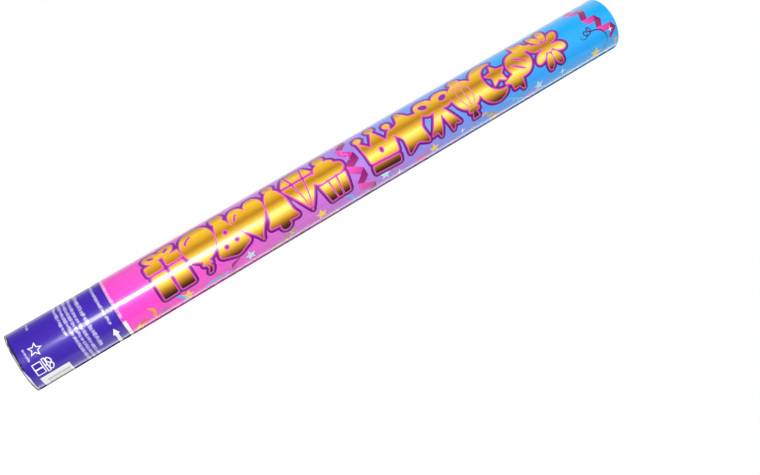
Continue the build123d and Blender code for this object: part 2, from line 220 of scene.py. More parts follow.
def motif_balloon():
    knot = soft([(10.5, 8), (18.5, 8), (15.6, 13.5), (13.4, 13.5)], 1)
    string = soft([(13, 8), (15, 8), (17.6, 4.6), (15.4, 0), (13, 0), (14.8, 4.4)], 0.8)
    shine = sector(14.5, 27.5, 9, 11.6, 105, 165)
    return 29, [oval(14.5, 28, 14.5, 16.8, count=36), knot, string], [soft(shine, 0.8)]


def motif_sweet():
    fan = [(9.5, -3.4), (21.5, -11), (20, -4), (24.5, 0), (20, 4), (21.5, 11), (9.5, 3.4)]
    parts = [oval(0, 0, 12.2, count=32), soft(fan), soft([(-u, -v) for u, v in fan])]
    slots = [oval(-3.6, 0, 1.3, 8.2), oval(3.6, 0, 1.3, 8.2)]
    filled, holes = ([moved(p, 17, 22.5, tilt=52) for p in group] for group in (parts, slots))
    return 34, filled, holes


def motif_bell():
    side = [(0.5, 5), (4.5, 12), (6, 25), (9.5, 34), (13, 37.5)]
    body = side + mirrored(side[::-1], 30)
    return 30, [soft(body, 3), oval(15, 40.5, 4.3), oval(15, 3.2, 4.6)], [oval(15, 41.2, 1.5)]


def motif_cake():
    cups = [
        [(5.5, 0), (11.4, 0), (10, 16.5), (2.2, 16.5)],
        [(13, 0), (17, 0), (18.2, 16.5), (11.8, 16.5)],
        [(18.6, 0), (24.5, 0), (27.8, 16.5), (20, 16.5)],
    ]
    swirls = [oval(7, 23.5, 7, 5.2), oval(15, 22.6, 9, 4.2), oval(23, 23.5, 7, 5.2)]
    swirls += [oval(15, 30.5, 9.5, 5.4)]
    return 30, [soft(c, 1) for c in cups] + swirls + [oval(15, 40, 4.6)], []


def motif_crown():
    band = soft([(3.5, 0), (29.5, 0), (30, 7), (3, 7)])
    body = [(2.6, 10), (30.4, 10), (33, 33), (24, 22), (16.5, 38), (9, 22), (0, 33)]
    balls = [oval(1.8, 35.5, 3.1), oval(16.5, 41, 3.6), oval(31.2, 35.5, 3.1)]
    return 33, [band, soft(body), *balls], [oval(16.5, 17.5, 2.4, 3.2)]


def motif_burst():
    parts = [oval(16.5, 22.5, 5.4)]
    for k in range(8):
        a = 45 * k + 22.5
        u, v = 14.5 * cos(radians(a)), 14.5 * sin(radians(a))
        parts.append(moved(oval(0, 0, 7.6, 3.7, tilt=a), 16.5 + u * 0.78, 22.5 + v, stretch=0.85))
    return 33, parts, []


def motif_gem():
    left = [(7, 43), (1, 32.4), (9.4, 32.4)]
    low = [(0.6, 29.6), (9.6, 29.6), (14.6, 5)]
    facets = [left, mirrored(left, 32), low, mirrored(low, 32)]
    facets += [[(9.4, 43), (22.6, 43), (20.4, 32.4), (11.6, 32.4)]]
    facets += [[(11.8, 29.6), (20.2, 29.6), (16, 2)]]
    return 32, [soft(f, 0.9) for f in facets], []


def motif_heart():
    made = []
    for k in range(40):
        a = 2 * pi * k / 40
        u = 16 * sin(a) ** 3
        v = 13 * cos(a) - 5 * cos(2 * a) - 2 * cos(3 * a) - cos(4 * a)
        made.append((16 + u * 0.98, 24.5 + v * 1.35))
    return 32, [made], [soft(moved(sector(0, 0, 6.4, 8.6, 110, 175), 11.5, 27), 0.8)]


def motif_moon():
    back = arc_of(15, 22.5, 17, 21, np.linspace(0.9, 5.4, 26))
    front = arc_of(24, 24, 15, 15, np.linspace(4.9, 1.5, 18))
    return 31, [soft(back + front, 0.8), moved(star(0, 0, 10.5, 5), 23, 24)], []


def motif_lantern():
    ribs = []
    for reach in (-7, 0, 7):
        arc = arc_of(0, 23.5, reach, 12.4, np.linspace(-1.25, 1.25, 12))
        ribs.append([(13 + u, v) for u, v in arc] + [(14 + u, v) for u, v in arc[::-1]])
    caps = [rect(8.5, 38.4, 18.5, 41.8), rect(8.5, 5.2, 18.5, 8.6)]
    tassel = soft([(12.2, 6), (14.8, 6), (16.6, -1.5), (10.4, -1.5)], 0.8)
    parts = [oval(13.5, 23.5, 13.5, 14.8, count=36), oval(13.5, 42.6, 2.6, 2.2), tassel]
    return 27, parts + [soft(c, 1) for c in caps], ribs


def motif_bow():
    tail = soft([(15, 24), (19, 22), (11.5, -1), (8.6, 5), (2.8, 3.2)], 1.2)
    left = [oval(9, 31, 9.4, 8.6, -25, 34), tail]
    right = [mirrored(part, 36) for part in left]
    knot = soft(rect(14.4, 21.5, 21.6, 32.5), 2.2)
    holes = [oval(7.6, 31.8, 4.8, 3.4, -25), oval(28.4, 31.8, 4.8, 3.4, 25)]
    return 36, [*left, *right, knot], holes


# motif, its tilt in degrees, and the room before it
FRONT_ROW = [
    (motif_gift, 2, 0), (motif_balloon, -4, 1), (motif_hat, 3, -5.4),
    (motif_heart, 4, -7.4), (motif_bell, -3, -6.4), (motif_gem, 0, -5.4),
    (motif_cake, 3, -4.6), (motif_crown, -3, 20), (motif_star, 4, -2.6),
    (motif_bow, -2, -4), (motif_lantern, 3, -2), (motif_moon, 0, -1),
    (motif_sweet, 0, 0), (motif_burst, 5, -1.4),
]
ROW_START, MOTIF_HALF = 118, 22.5


def gold_row(base, row):
    """Every motif of one row, set side by side, as (outlines, holes)."""
    made, x = [], ROW_START
    for make, tilt, room in row:
        width, *groups = make()
        x += room
        middle = x + width / 2, base + MOTIF_HALF
        about = [[[(u - width / 2, v - MOTIF_HALF) for u, v in p] for p in g] for g in groups]
        made.append([[moved(p, *middle, tilt=tilt) for p in g] for g in about])
        x += width
    return made


# ---- Artwork: lines for the mesh to follow, and what is painted between them ----
class Artwork:
    def __init__(self, low, high, lower_edge=None):
        self.low, self.high, self.ragged = low, high, lower_edge is not None
        self.lower_edge = lower_edge or (lambda t: low)
        self.points, self.edges, self.index = [], [], {}
        self.layers, self.motifs = [], []

    def point(self, x, t):
        key = (round(x, 3), round(t, 3))
        if key not in self.index:
            self.index[key] = len(self.points)
            self.points.append(Vector(key))
        return self.index[key]

    def line(self, points, closed=False):
        keys = [self.point(x, t) for x, t in points]
        pairs = zip(keys, keys[1:] + keys[:1]) if closed else zip(keys, keys[1:])
        self.edges += [(a, b) for a, b in pairs if a != b]

    def fill(self, points, colour, fade=None):
        """A filled outline. fade is a second colour that it turns to along its length."""
        low, high = SHEET_LOW + INK_MARGIN, SHEET_HIGH - INK_MARGIN
        points = [(x, min(max(t, low), high)) for x, t in points]
        self.line(points, closed=True)
        flat = np.array(points, float)
        paint = painter(flat, colour, fade)
        self.layers.append((bounds_of(flat), lambda p: inside(p, flat), paint))

    def stroke(self, points, width, colour):
        """A line of that width along the points, slimmer at its ends."""
        path = np.array(points, float)
        step = np.gradient(path, axis=0)
        step /= np.linalg.norm(step, axis=1)[:, None] + 1e-9
        side = np.stack([-step[:, 1], step[:, 0]], 1)
        share = np.linspace(0, 1, len(path))
        half = width / 2 * np.clip(0.35 + 2.6 * np.minimum(share, 1 - share), 0, 1)
        left, right = path + side * half[:, None], path - side * half[:, None]
        for k in range(len(path) - 1):
            self.fill([left[k], left[k + 1], right[k + 1], right[k]], colour)

    def motif(self, filled, holes):
        for outline in filled + holes:
            self.line(outline, closed=True)
            for reach in EDGES:
                for piece in parallels(outline, reach):
                    self.line(piece)
        self.motifs.append(([np.array(p) for p in filled], [np.array(p) for p in holes]))


# how far the rose, magenta and purple edges reach from a gold outline
EDGES = (0.35, 1.4, 3.2)


def bounds_of(flat, room=0):
    return (*(flat.min(0) - room), *(flat.max(0) + room))


def in_box(p, box):
    """Which of the points lie within (x0, t0, x1, t1), as their numbers."""
    x0, t0, x1, t1 = box
    return np.flatnonzero((p[:, 0] > x0) & (p[:, 0] < x1) & (p[:, 1] > t0) & (p[:, 1] < t1))


def painter(flat, colour, fade):
    first = linear(colour)
    if fade is None:
        return lambda p: np.broadcast_to(first, (len(p), 3))
    start, end = flat[0], flat[len(flat) // 2]
    along = (end - start) / max(float((end - start) @ (end - start)), 1e-9)
    last = linear(fade)
    return lambda p: first + np.clip((p - start) @ along, 0, 1)[:, None] * (last - first)


def inside(p, polygon):
    """Which of the points lie inside the polygon."""
    made = np.zeros(len(p), bool)
    ends = np.roll(polygon, -1, axis=0)
    for (x1, t1), (x2, t2) in zip(polygon, ends):
        crosses = (t1 > p[:, 1]) != (t2 > p[:, 1])
        with np.errstate(divide="ignore", invalid="ignore"):
            at = (x2 - x1) * (p[:, 1] - t1) / (t2 - t1) + x1
        made ^= crosses & (p[:, 0] < at)
    return made


def reach_to(p, polygon):
    """Each point's distance to the polygon's outline."""
    least = np.full(len(p), 1e9)
    ends = np.roll(polygon, -1, axis=0)
    for a, b in zip(polygon, ends):
        along = b - a
        share = np.clip((p - a) @ along / max(float(along @ along), 1e-12), 0, 1)
        least = np.minimum(least, np.linalg.norm(p - a - share[:, None] * along, axis=1))
    return least


def parallels(outline, reach):
    """The outline's edges moved out and in by reach, with arcs round its corners."""
    made = []
    total = len(outline)
    for k in range(total):
        before, a, b = (Vector(outline[(k + j) % total]) for j in (-1, 0, 1))
        along, last = b - a, a - before
        if along.length < 1e-6 or last.length < 1e-6:
            continue
        out = Vector((along.y, -along.x)).normalized()
        old = Vector((last.y, -last.x)).normalized()
        for side in (-1, 1):
            start = tuple(a + out * reach * side)
            made.append([start, tuple(b + out * reach * side)])
            if old.cross(out) * side > 0.02:
                corner = a + (old + out).normalized() * reach * side
                made.append([tuple(a + old * reach * side), tuple(corner), start])
    return made


# ---- The ornaments between the motifs ----
def curled(art, x, t, length, heading, swing, turns, width, shades):
    """A curled ribbon: leaning bands, light in front and dark behind."""
    c, s = cos(radians(heading)), sin(radians(heading))
    rng = random.Random(int(x * 10 + length))
    knots = []
    for k in range(2 * turns + 1):
        along = length * (k + rng.uniform(-0.2, 0.2)) / (2 * turns)
        across = swing * (0.5 if k % 2 else -0.5) * (0.8 + 0.2 * sin(2.1 * k))
        knots.append(spun(x, t, along, across, heading))
    middle = tuple((u + v) / 2 for u, v in zip(*shades))
    for k in range(2 * turns):
        a, b = knots[k], knots[k + 1]
        slim = [0.35 if j in (0, 2 * turns) else 1 for j in (k, k + 1)]
        far = [(p[0] + c * width * w, p[1] + s * width * w) for p, w in zip((a, b), slim)]
        art.fill([a, b, far[1], far[0]], shades[k % 2], fade=middle)


def wave(x, t, length, heading, swing, cycles, count):
    """Points of a wavy line."""
    shares = [k / count for k in range(count + 1)]
    path = [(length * u, swing * sin(2 * pi * cycles * u)) for u in shares]
    return moved(path, x, t, tilt=heading)


def loops(x, t, length, heading, size, turns):
    """Points of a thread that coils along its way."""
    path, total = [], 14 * turns
    for u in [k / total for k in range(total + 1)]:
        a = 2 * pi * turns * u
        path.append((length * u - size * sin(a), size * 1.2 * (1 - cos(a))))
    return moved(path, x, t, tilt=heading)


def swirl(x, t, size, mirror):
    """Points of a thread with two small loops that ends in a wide bow."""
    made = []
    for k in range(27):
        a = 2 * pi * k / 11
        made.append((-0.75 * k / 2.6 - 2 * sin(a), 2 * (1 - cos(a)) - 0.12 * k))
    made = [(u + 7.5, v) for u, v in made[::-1]]
    bow = np.linspace(0.25, 2.2, 12)
    made += [(7.5 + 8.5 * sin(a) * 1.1, 8.5 * (cos(a) - 1)) for a in bow]
    made += [(made[-1][0] - 2.2, made[-1][1] - 4.5)]
    return [(x + mirror * u * size, t + v * size) for u, v in made]


def ornaments(art, flip):
    """One side's set of ornaments. flip moves it to the back and turns it end for end."""

    def side(table, headed=False):
        """The table's rows as they stand on this side."""
        for x, t, *rest in table:
            if flip:
                x, t = ROW_START - 36 + MUZZLE - x, to_back(t)
            if flip and headed:
                rest[1] = 180 - rest[1]
            yield x, t, *rest

    for row in side(CURLS, headed=True):
        curled(art, *row)
    for table, width, make, *shape in [
        (RIBBONS, 2.7, wave, 2.4, 0.8, 12),
        (SQUIGGLES, 0.9, wave, 1.5, 3, 27),
        (COILS, 0.9, loops),
    ]:
        for *row, colour in side(table, headed=True):
            art.stroke(make(*row, *shape), width, colour)
    for x, t in side([SWIRL]):
        art.stroke(swirl(x, t, 1.45, -1 if flip else 1), 1.25, NAVY)
    for x, t, size, angle, colour in side(STARS):
        art.fill(star(x, t, size * 1.12, size * 0.48, 5, angle), colour)
    for x, t, size in side(SPARKLES):
        art.fill(star(x, t, size, size * 0.2, 4), WHITE)
    for x, t, rx, ry, colour in side(DOTS):
        art.fill(oval(x, t, rx, ry, 10, 16), colour)
    for x, t, size, angle, colour in side(CHIPS):
        art.fill(moved([(-1, -0.6), (1.1, -0.2), (0.3, 0.8)], x, t, size, angle), colour)


# x, t, then what the ornament's function takes, and its colour where it has one
CURLS = [
    (308, 43, 76, -84, 17, 4, 8, ROSE), (560, 44, 64, -60, 15, 4, 7.6, ROSE),
    (176, -40, 24, 70, 8, 2, 5.2, ROSE), (214, -34, 30, 24, 6, 4, 3.4, LIME),
    (438, -17, 34, -30, 6, 4, 3.2, AMBER), (254, -42, 26, 30, 6, 3, 3.2, AMBER),
    (520, -44, 30, 34, 6, 4, 3.4, LIME),
]
RIBBONS = [
    (126, -17, 22, -52, CYAN), (152, -30, 24, 20, CYAN), (292, -19, 18, -44, CYAN),
    (484, -33, 24, 26, PALE_PINK), (104, -14, 16, -70, ORANGE), (364, -32, 20, 36, CORAL),
    (402, -30, 18, -20, PALE_PINK),
]
SQUIGGLES = [
    (342, -14, 26, -60, PALE_PINK), (306, 30, 22, -74, PALE_PINK),
    (235, -22, 24, -14, PALE_PINK),
]
COILS = [
    (468, -20, 26, -30, 1.7, 4, TEAL), (184, -46, 30, 14, 1.7, 4, TEAL),
]
SWIRL = (562, -1)
STARS = [
    (138, -24, 5.2, 74, YELLOW), (198, -21, 4.8, 100, ICE), (268, -22, 5.2, 96, YELLOW),
    (334, -20, 5, 84, ICE), (452, -31, 4.8, 80, YELLOW), (504, -22, 5, 100, ICE),
    (572, -24, 6, 78, YELLOW), (386, -23, 5, 94, YELLOW), (590, 38, 5, 84, YELLOW),
]
SPARKLES = [
    (282, -30, 3.4), (348, -27, 4.2), (417, -22, 3.4), (532, -22, 4), (330, 22, 3.4),
    (592, -8, 3.4), (545, -38, 4),
]
DOTS = [
    (97, -24, 3.2, 2.6, CORAL), (168, -22, 1.7, 1.5, CORAL), (311, -36, 2.2, 1.8, CORAL),
    (428, -27, 2.2, 1.8, ORANGE), (586, -33, 2.4, 2, CORAL), (338, 36, 2.2, 1.8, ORANGE),
    (578, 24, 2.2, 1.8, CORAL), (146, -44, 2.2, 1.8, YELLOW),
]
CHIPS = [
    (114, -26, 3.8, 10, GREEN), (246, -30, 3.2, 50, GREEN), (376, -30, 3.2, 200, ORANGE),
    (478, -42, 3.4, 120, GREEN), (596, -22, 3.4, 70, ORANGE), (326, 2, 3, 160, YELLOW),
]


# ---- Making the printed wraps ----
def cut_lines(art):
    """The lines that keep the mesh round, and the sheet's own edges."""
    first, last = (int(t / PER_DEGREE / CELL) for t in (SHEET_LOW, SHEET_HIGH))
    inner = [k * CELL * PER_DEGREE for k in range(first, last + 1)]
    across = [SHEET_LOW, *inner, SHEET_HIGH]
    across = [t for k, t in enumerate(across) if k == 0 or t - across[k - 1] > 0.05]
    rows = max(2, round((art.high - art.low) / RING_GAP)) + 1
    for t in across:
        art.line([(art.lower_edge(t), t), (art.high, t)])
    for x in np.linspace(art.low, art.high, rows)[1:]:
        art.line([(x, t) for t in across])
    edge = across
    if art.ragged:
        fine = np.arange(SHEET_LOW, SHEET_HIGH, 0.45)
        fine = [t for t in fine if min(abs(t - other) for other in across) > 0.12]
        edge = sorted(fine + across)
    art.line([(art.lower_edge(t), t) for t in edge])


def painted_triangles(art, ground):
    """The sheet's flat triangles and the colour at each of their corners."""
    cut_lines(art)
    flat, _, faces, *_ = delaunay_2d_cdt(art.points, art.edges, [], 0, 1e-4)
    flat, faces = np.array(flat, float), np.array(faces, int)
    corners = flat[faces]
    span_a, span_b = corners[:, 1] - corners[:, 0], corners[:, 2] - corners[:, 0]
    area = span_a[:, 0] * span_b[:, 1] - span_a[:, 1] * span_b[:, 0]
    faces[area < 0] = faces[area < 0][:, ::-1]
    middle = flat[faces].mean(1)
    lower = np.array([art.lower_edge(t) for t in middle[:, 1]])
    keep = (middle[:, 0] > lower) & (middle[:, 0] < art.high) & (np.abs(area) > 1e-9)
    keep &= (middle[:, 1] > SHEET_LOW) & (middle[:, 1] < SHEET_HIGH)
    faces, middle = faces[keep], middle[keep]
    corners = flat[faces]
    colours = ground(corners.reshape(-1, 2)).reshape(-1, 3, 3)
    for box, within, paint in art.layers:
        found = in_box(middle, box)
        found = found[within(middle[found])]
        colours[found] = paint(corners[found].reshape(-1, 2)).reshape(-1, 3, 3)
    reach = np.full(len(faces), 1e9)
    for filled, holes in art.motifs:
        found = in_box(middle, bounds_of(np.vstack(filled), EDGES[-1]))
        p = middle[found]
        gold = np.any([inside(p, f) for f in filled], axis=0)
        if holes:
            gold &= ~np.any([inside(p, h) for h in holes], axis=0)
        far = np.min([reach_to(p, o) for o in filled + holes], axis=0)
        reach[found] = np.minimum(reach[found], np.where(gold, -1, far))
    steps = (-9, 0, *EDGES)
    inks = (GOLD, ROSE_EDGE, MAGENTA_EDGE, PURPLE_EDGE)
    for near, far, stops in zip(steps, steps[1:], inks):
        found = np.flatnonzero((reach > near) & (reach <= far))
        on_back = middle[found, 1] < BAND_LOW - 12
        base = np.where(on_back, to_back(BAND_LOW), BAND_LOW)
        share = (corners[found][..., 1] - base[:, None]) / (BAND_HIGH - BAND_LOW)
        colours[found] = ramp(stops, share)
    return flat, faces, colours


def wrap_radius(t):
    """Radius of the wrap's face: it steps up where it lies over its own other end."""
    rise = np.clip((t - SEAM + FLAP) / FLAP_RISE, 0, 1)
    return PAPER_RADIUS + (OVER_RADIUS - PAPER_RADIUS) * rise


def on_tube(x, t, radius):
    a = t / OVER_RADIUS
    return np.stack([-radius * np.sin(a), -radius * np.cos(a), x], -1) * MM


def closed_strip(first, second):
    """Triangles between two rings of (vertex, t), both sorted by t."""
    first, second = ([*ring, (ring[0][0], ring[0][1] + TURN)] for ring in (first, second))
    made = []
    while len(first) > 1 or len(second) > 1:
        on_first = len(second) == 1 or (len(first) > 1 and first[1][1] <= second[1][1])
        ring = first if on_first else second
        made.append((first[0][0], ring[1][0], second[0][0]))
        del ring[0]
    return made


def placed(name, data):
    """A new object of that name, put in the scene."""
    made = bpy.data.objects.new(name, data)
    scene.collection.objects.link(made)
    return made


def printed_wrap(name, art, ground):
    """The wrap as one closed sheet: printed face, cut edges and plain inside."""
    flat, faces, colours = painted_triangles(art, ground)
    used, faces = np.unique(faces, return_inverse=True)
    faces, flat = faces.reshape(-1, 3), flat[used]
    points = [tuple(p) for p in on_tube(flat[:, 0], flat[:, 1], wrap_radius(flat[:, 1]))]
    edges = {}
    for tri in faces:
        for k in range(3):
            a, b = int(tri[k]), int(tri[(k + 1) % 3])
            if not edges.pop((b, a), False):
                edges[(a, b)] = True
    open_points = {v for e in edges for v in e}

    def on_line(axis, place):
        """The open points on one straight edge of the flat sheet."""
        return {v for v in open_points if abs(flat[v, axis] - place) < 1e-3}

    sides = [on_line(1, t) for t in (SHEET_LOW, SHEET_HIGH)]
    left, right = (sorted(side, key=lambda v: flat[v, 0]) for side in sides)
    seam = {*left, *right}
    high_end = on_line(0, art.high)
    low_end = open_points - high_end - {*left[1:], *right[1:]}
    inner = {}
    for v in sorted(low_end | high_end):
        inner[v] = len(points)
        points.append(tuple(on_tube(flat[v, 0], flat[v, 1], TUBE_RADIUS)))
    ends = [e for e in edges if inner.keys() >= {*e} and not seam >= {*e}]
    rims = [(b, a, inner[a], inner[b]) for a, b in ends]
    steps = [(a, right[k + 1], left[k + 1], left[k]) for k, a in enumerate(right[:-1])]
    rims.append((left[0], right[0], inner[right[0]], inner[left[0]]))
    rims.append((right[-1], left[-1], inner[left[-1]], inner[right[-1]]))
    ends = ([(inner[v], flat[v, 1]) for v in end] for end in (low_end, high_end))
    lining = closed_strip(*(sorted(end, key=lambda p: p[1]) for end in ends))
    mesh = bpy.data.meshes.new(name)
    mesh.from_pydata(points, [], [tuple(map(int, f)) for f in faces] + steps + rims + lining)
    ink = mesh.color_attributes.new("ink", "FLOAT_COLOR", "CORNER")
    paper = np.tile(np.append(linear(PAPER), 1), (len(ink.data), 1))
    printed = 3 * len(faces)
    paper[:printed, :3] = colours.reshape(-1, 3)
    stepped = ground(np.repeat(flat[left[:-1]], 4, axis=0))
    paper[printed : printed + 4 * len(steps), :3] = stepped
    ink.data.foreach_set("color", paper.astype(np.float32).ravel())
    mesh.materials.append(PRINT)
    mesh.materials.append(CORE)
    kinds = np.zeros(len(mesh.polygons), np.int32)
    kinds[len(faces) + len(steps) :] = 1
    mesh.polygons.foreach_set("material_index", kinds)
    set_normals(mesh, len(faces), len(lining))
    return placed(name, mesh)


def read(items, name, width, kind=float):
    """One property of every item, in rows of that width."""
    found = np.empty(width * len(items), kind)
    items.foreach_get(name, found)
    return found.reshape(-1, width)


def set_normals(mesh, faced, lined):
    """Round normals on the printed face and the lining, flat ones on the cut edges."""
    mesh.shade_smooth()
    total = len(mesh.polygons)
    face = np.repeat(np.arange(total), read(mesh.polygons, "loop_total", 1, np.int32)[:, 0])
    normals = read(mesh.polygons, "normal", 3)[face]
    corners = read(mesh.loops, "vertex_index", 1, np.int32)[:, 0]
    round_out = read(mesh.vertices, "co", 3)[corners] * (1, 1, 0)
    round_out /= np.linalg.norm(round_out, axis=1)[:, None]
    normals[face < faced] = round_out[face < faced]
    normals[face >= total - lined] = -round_out[face >= total - lined]
    mesh.normals_split_custom_set(normals.tolist())


# ---- Materials ----
def connect(tree, socket, value):
    if isinstance(value, bpy.types.NodeSocket):
        tree.links.new(value, socket)
    else:
        socket.default_value = value


def add(tree, kind, inputs=None, **settings):
    """A node with its settings made and its inputs set or linked."""
    node = tree.nodes.new("ShaderNode" + kind)
    for name, value in settings.items():
        setattr(node, name, value)
    for name, value in (inputs or {}).items():
        connect(tree, node.inputs[name], value)
    return node


def calc(tree, operation, *values):
    node = add(tree, "Math", operation=operation)
    for socket, value in zip(node.inputs, values):
        connect(tree, socket, value)
    return node.outputs[0]


def noise(tree, scale, detail=4, rough=0.5, stretch=(1, 1, 1)):
    """Noise in the piece's own space; scale is in bumps per metre."""
    place = add(tree, "TexCoord").outputs["Object"]
    mapped = add(tree, "Mapping", {"Vector": place, "Scale": stretch}).outputs["Vector"]
    inputs = {"Vector": mapped, "Scale": scale, "Detail": detail, "Roughness": rough}
    return add(tree, "TexNoise", inputs).outputs["Fac"]


def cells(tree, scale, feature="F1"):
    """Distance within each of the cells; scale is in cells per metre."""
    place = add(tree, "TexCoord").outputs["Object"]
    inputs = {"Vector": place, "Scale": scale}
    return add(tree, "TexVoronoi", inputs, feature=feature).outputs["Distance"]


def band(tree, value, low, high, start=0, end=1):
    inputs = {"Value": value, "From Min": low, "From Max": high, "To Min": start, "To Max": end}
    return add(tree, "MapRange", inputs).outputs["Result"]


def mix(tree, share, first, second, blend="MIX"):
    node = add(tree, "Mix", data_type="RGBA", blend_type=blend)
    for socket, value in [(0, share), (6, first), (7, second)]:
        connect(tree, node.inputs[socket], value)
    return node.outputs[2]


def mix_level(tree, share, first, second):
    node = add(tree, "Mix", data_type="FLOAT")
    for socket, value in [(0, share), (2, first), (3, second)]:
        connect(tree, node.inputs[socket], value)
    return node.outputs[0]


def grey(tree, value):
    return add(tree, "CombineColor", {"Red": value, "Green": value, "Blue": value}).outputs[0]


def rgba(rgb):
    return (*[float(v) for v in linear(rgb)], 1)


def finish_of(name, **constants):
    """A new material: (material, its tree, its principled shader)."""
    made = bpy.data.materials.new(name)
    made.use_nodes = True
    shader = made.node_tree.nodes["Principled BSDF"]
    for socket, value in constants.items():
        shader.inputs[socket.replace("_", " ")].default_value = value
    return made, made.node_tree, shader


def bump(tree, shader, height, strength, distance, socket="Normal"):
    node = add(tree, "Bump", {"Height": height, "Strength": strength, "Distance": distance * MM})
    tree.links.new(node.outputs["Normal"], shader.inputs[socket])


def colour_by(tree, shader, value, low, high, rgb, darker):
    """The colour, which turns to a darker share of itself as value goes from low to high."""
    share = band(tree, value, low, high)
    dark = rgba([v * darker for v in rgb])
    connect(tree, shader.inputs["Base Color"], mix(tree, share, rgba(rgb), dark))
    return share


def rough_by(tree, shader, value, low, high):
    connect(tree, shader.inputs["Roughness"], band(tree, value, 0.3, 0.7, low, high))


def printed_paper(name):
    """Varnished print: slight mottle in the ink, a satin sheet under a clear gloss."""
    varnish = {"Coat_Weight": 1, "Coat_Roughness": 0.135, "Coat_IOR": 1.5}
    made, tree, shader = finish_of(name, IOR=1.5, **varnish)
    ink = add(tree, "VertexColor", layer_name="ink").outputs["Color"]
    mottle = grey(tree, band(tree, noise(tree, 900, 5, 0.6), 0.3, 0.7, 0.965, 1.02))
    connect(tree, shader.inputs["Base Color"], mix(tree, 1, ink, mottle, "MULTIPLY"))
    rough_by(tree, shader, noise(tree, 420, 3, 0.5), 0.28, 0.36)
    ripple = noise(tree, 90, 2, 0.45, (1, 1, 0.35))
    bump(tree, shader, ripple, 0.12, 0.5)
    bump(tree, shader, ripple, 0.1, 0.3, "Coat Normal")
    return made


PLY_CLIMB, PLY_LINE = 0.075, 0.012  # metres in one turn, and the line's share of them
# the last of these is painted shade: the dark line round the tube's cut lower end
SPECK, PLY_SHADE, CUT_EDGE_SHADE = (74, 68, 66), (120, 108, 96), (44, 40, 43)


def board(name, rgb, dark, shaded_cut=False):
    """Wound grey-white board: fibres, dark specks and the plies' winding line, and where asked,
    painted shade along its cut lower end.
    """
    made, tree, shader = finish_of(name, IOR=1.45, Roughness=0.85)
    fibres = noise(tree, 260, 6, 0.65, (1, 1, 3))
    base = mix(tree, band(tree, fibres, 0.35, 0.7), rgba(rgb), rgba(dark))
    specks = band(tree, noise(tree, 620, 2, 0.5), 0.63, 0.68)
    base = mix(tree, specks, base, rgba(SPECK))
    place = add(tree, "SeparateXYZ", {"Vector": add(tree, "TexCoord").outputs["Object"]})
    turn = calc(tree, "ARCTAN2", place.outputs["Y"], place.outputs["X"])
    climb = calc(tree, "DIVIDE", place.outputs["Z"], PLY_CLIMB)
    winding = calc(tree, "SUBTRACT", climb, calc(tree, "DIVIDE", turn, 2 * pi))
    line = calc(tree, "LESS_THAN", calc(tree, "FRACT", winding), PLY_LINE)
    base = mix(tree, calc(tree, "MULTIPLY", line, 0.55), base, rgba(PLY_SHADE))
    # painted shade: a ragged dark band along the bottom millimetre of the cut end
    if shaded_cut:
        ragged = band(tree, noise(tree, 500, 3), 0.2, 0.8, 0.4 * MM, 1.1 * MM)
        edge_shade = calc(tree, "LESS_THAN", place.outputs["Z"], ragged)
        base = mix(tree, calc(tree, "MULTIPLY", edge_shade, 0.93), base, rgba(CUT_EDGE_SHADE))
    connect(tree, shader.inputs["Base Color"], base)
    bump(tree, shader, calc(tree, "SUBTRACT", fibres, line), 0.5, 0.12)
    return made


def moulded(name, rgb, roughness):
    """Moulded plastic: faint flow marks and a fine spark-eroded grain."""
    made, tree, shader = finish_of(name, IOR=1.49)
    flow = noise(tree, 60, 3, 0.5)
    colour_by(tree, shader, flow, 0.35, 0.65, rgb, 0.93)
    rough_by(tree, shader, flow, roughness - 0.06, roughness + 0.06)
    bump(tree, shader, noise(tree, 2100, 2, 0.5), 0.2, 0.04)
    return made


def metal(name, rgb, roughness, stretch=(1, 1, 1)):
    """Metal with fine working marks along or round it."""
    made, tree, shader = finish_of(name, Metallic=1)
    marks = noise(tree, 400, 5, 0.6, stretch)
    colour_by(tree, shader, marks, 0.3, 0.7, rgb, 0.86)
    rough_by(tree, shader, marks, roughness * 0.75, roughness * 1.3)
    bump(tree, shader, marks, 0.12, 0.04)
    return made


def foil(name, rgb, metallic):
    """Metallised film with crease marks."""
    made, tree, shader = finish_of(name, Metallic=metallic)
    creases = band(tree, cells(tree, 170, "DISTANCE_TO_EDGE"), 0, 0.3, 0, 0.3)
    soft_marks = noise(tree, 120, 4, 0.55)
    height = calc(tree, "ADD", creases, calc(tree, "MULTIPLY", soft_marks, 1.4))
    colour_by(tree, shader, soft_marks, 0.35, 0.65, rgb, 0.8)
    rough_by(tree, shader, soft_marks, 0.22, 0.38)
    bump(tree, shader, height, 0.25, 0.2)
    return made


def tissue(name, rgb):
    """Thin matt paper with fibres."""
    made, tree, shader = finish_of(name, IOR=1.4, Roughness=0.8)
    fibres = noise(tree, 900, 6, 0.7, (1, 1, 0.3))
    colour_by(tree, shader, fibres, 0.3, 0.7, rgb, 0.9)
    bump(tree, shader, fibres, 0.3, 0.05)
    return made


def foamed(name, rgb):
    """Closed-cell foam."""
    glow = {"Subsurface_Weight": 0.1, "Subsurface_Radius": (0.002, 0.002, 0.002)}
    made, tree, shader = finish_of(name, IOR=1.4, Roughness=0.9, **glow)
    hollow = colour_by(tree, shader, cells(tree, 900), 0.1, 0.6, rgb, 0.82)
    bump(tree, shader, hollow, 0.6, 0.2)
    return made


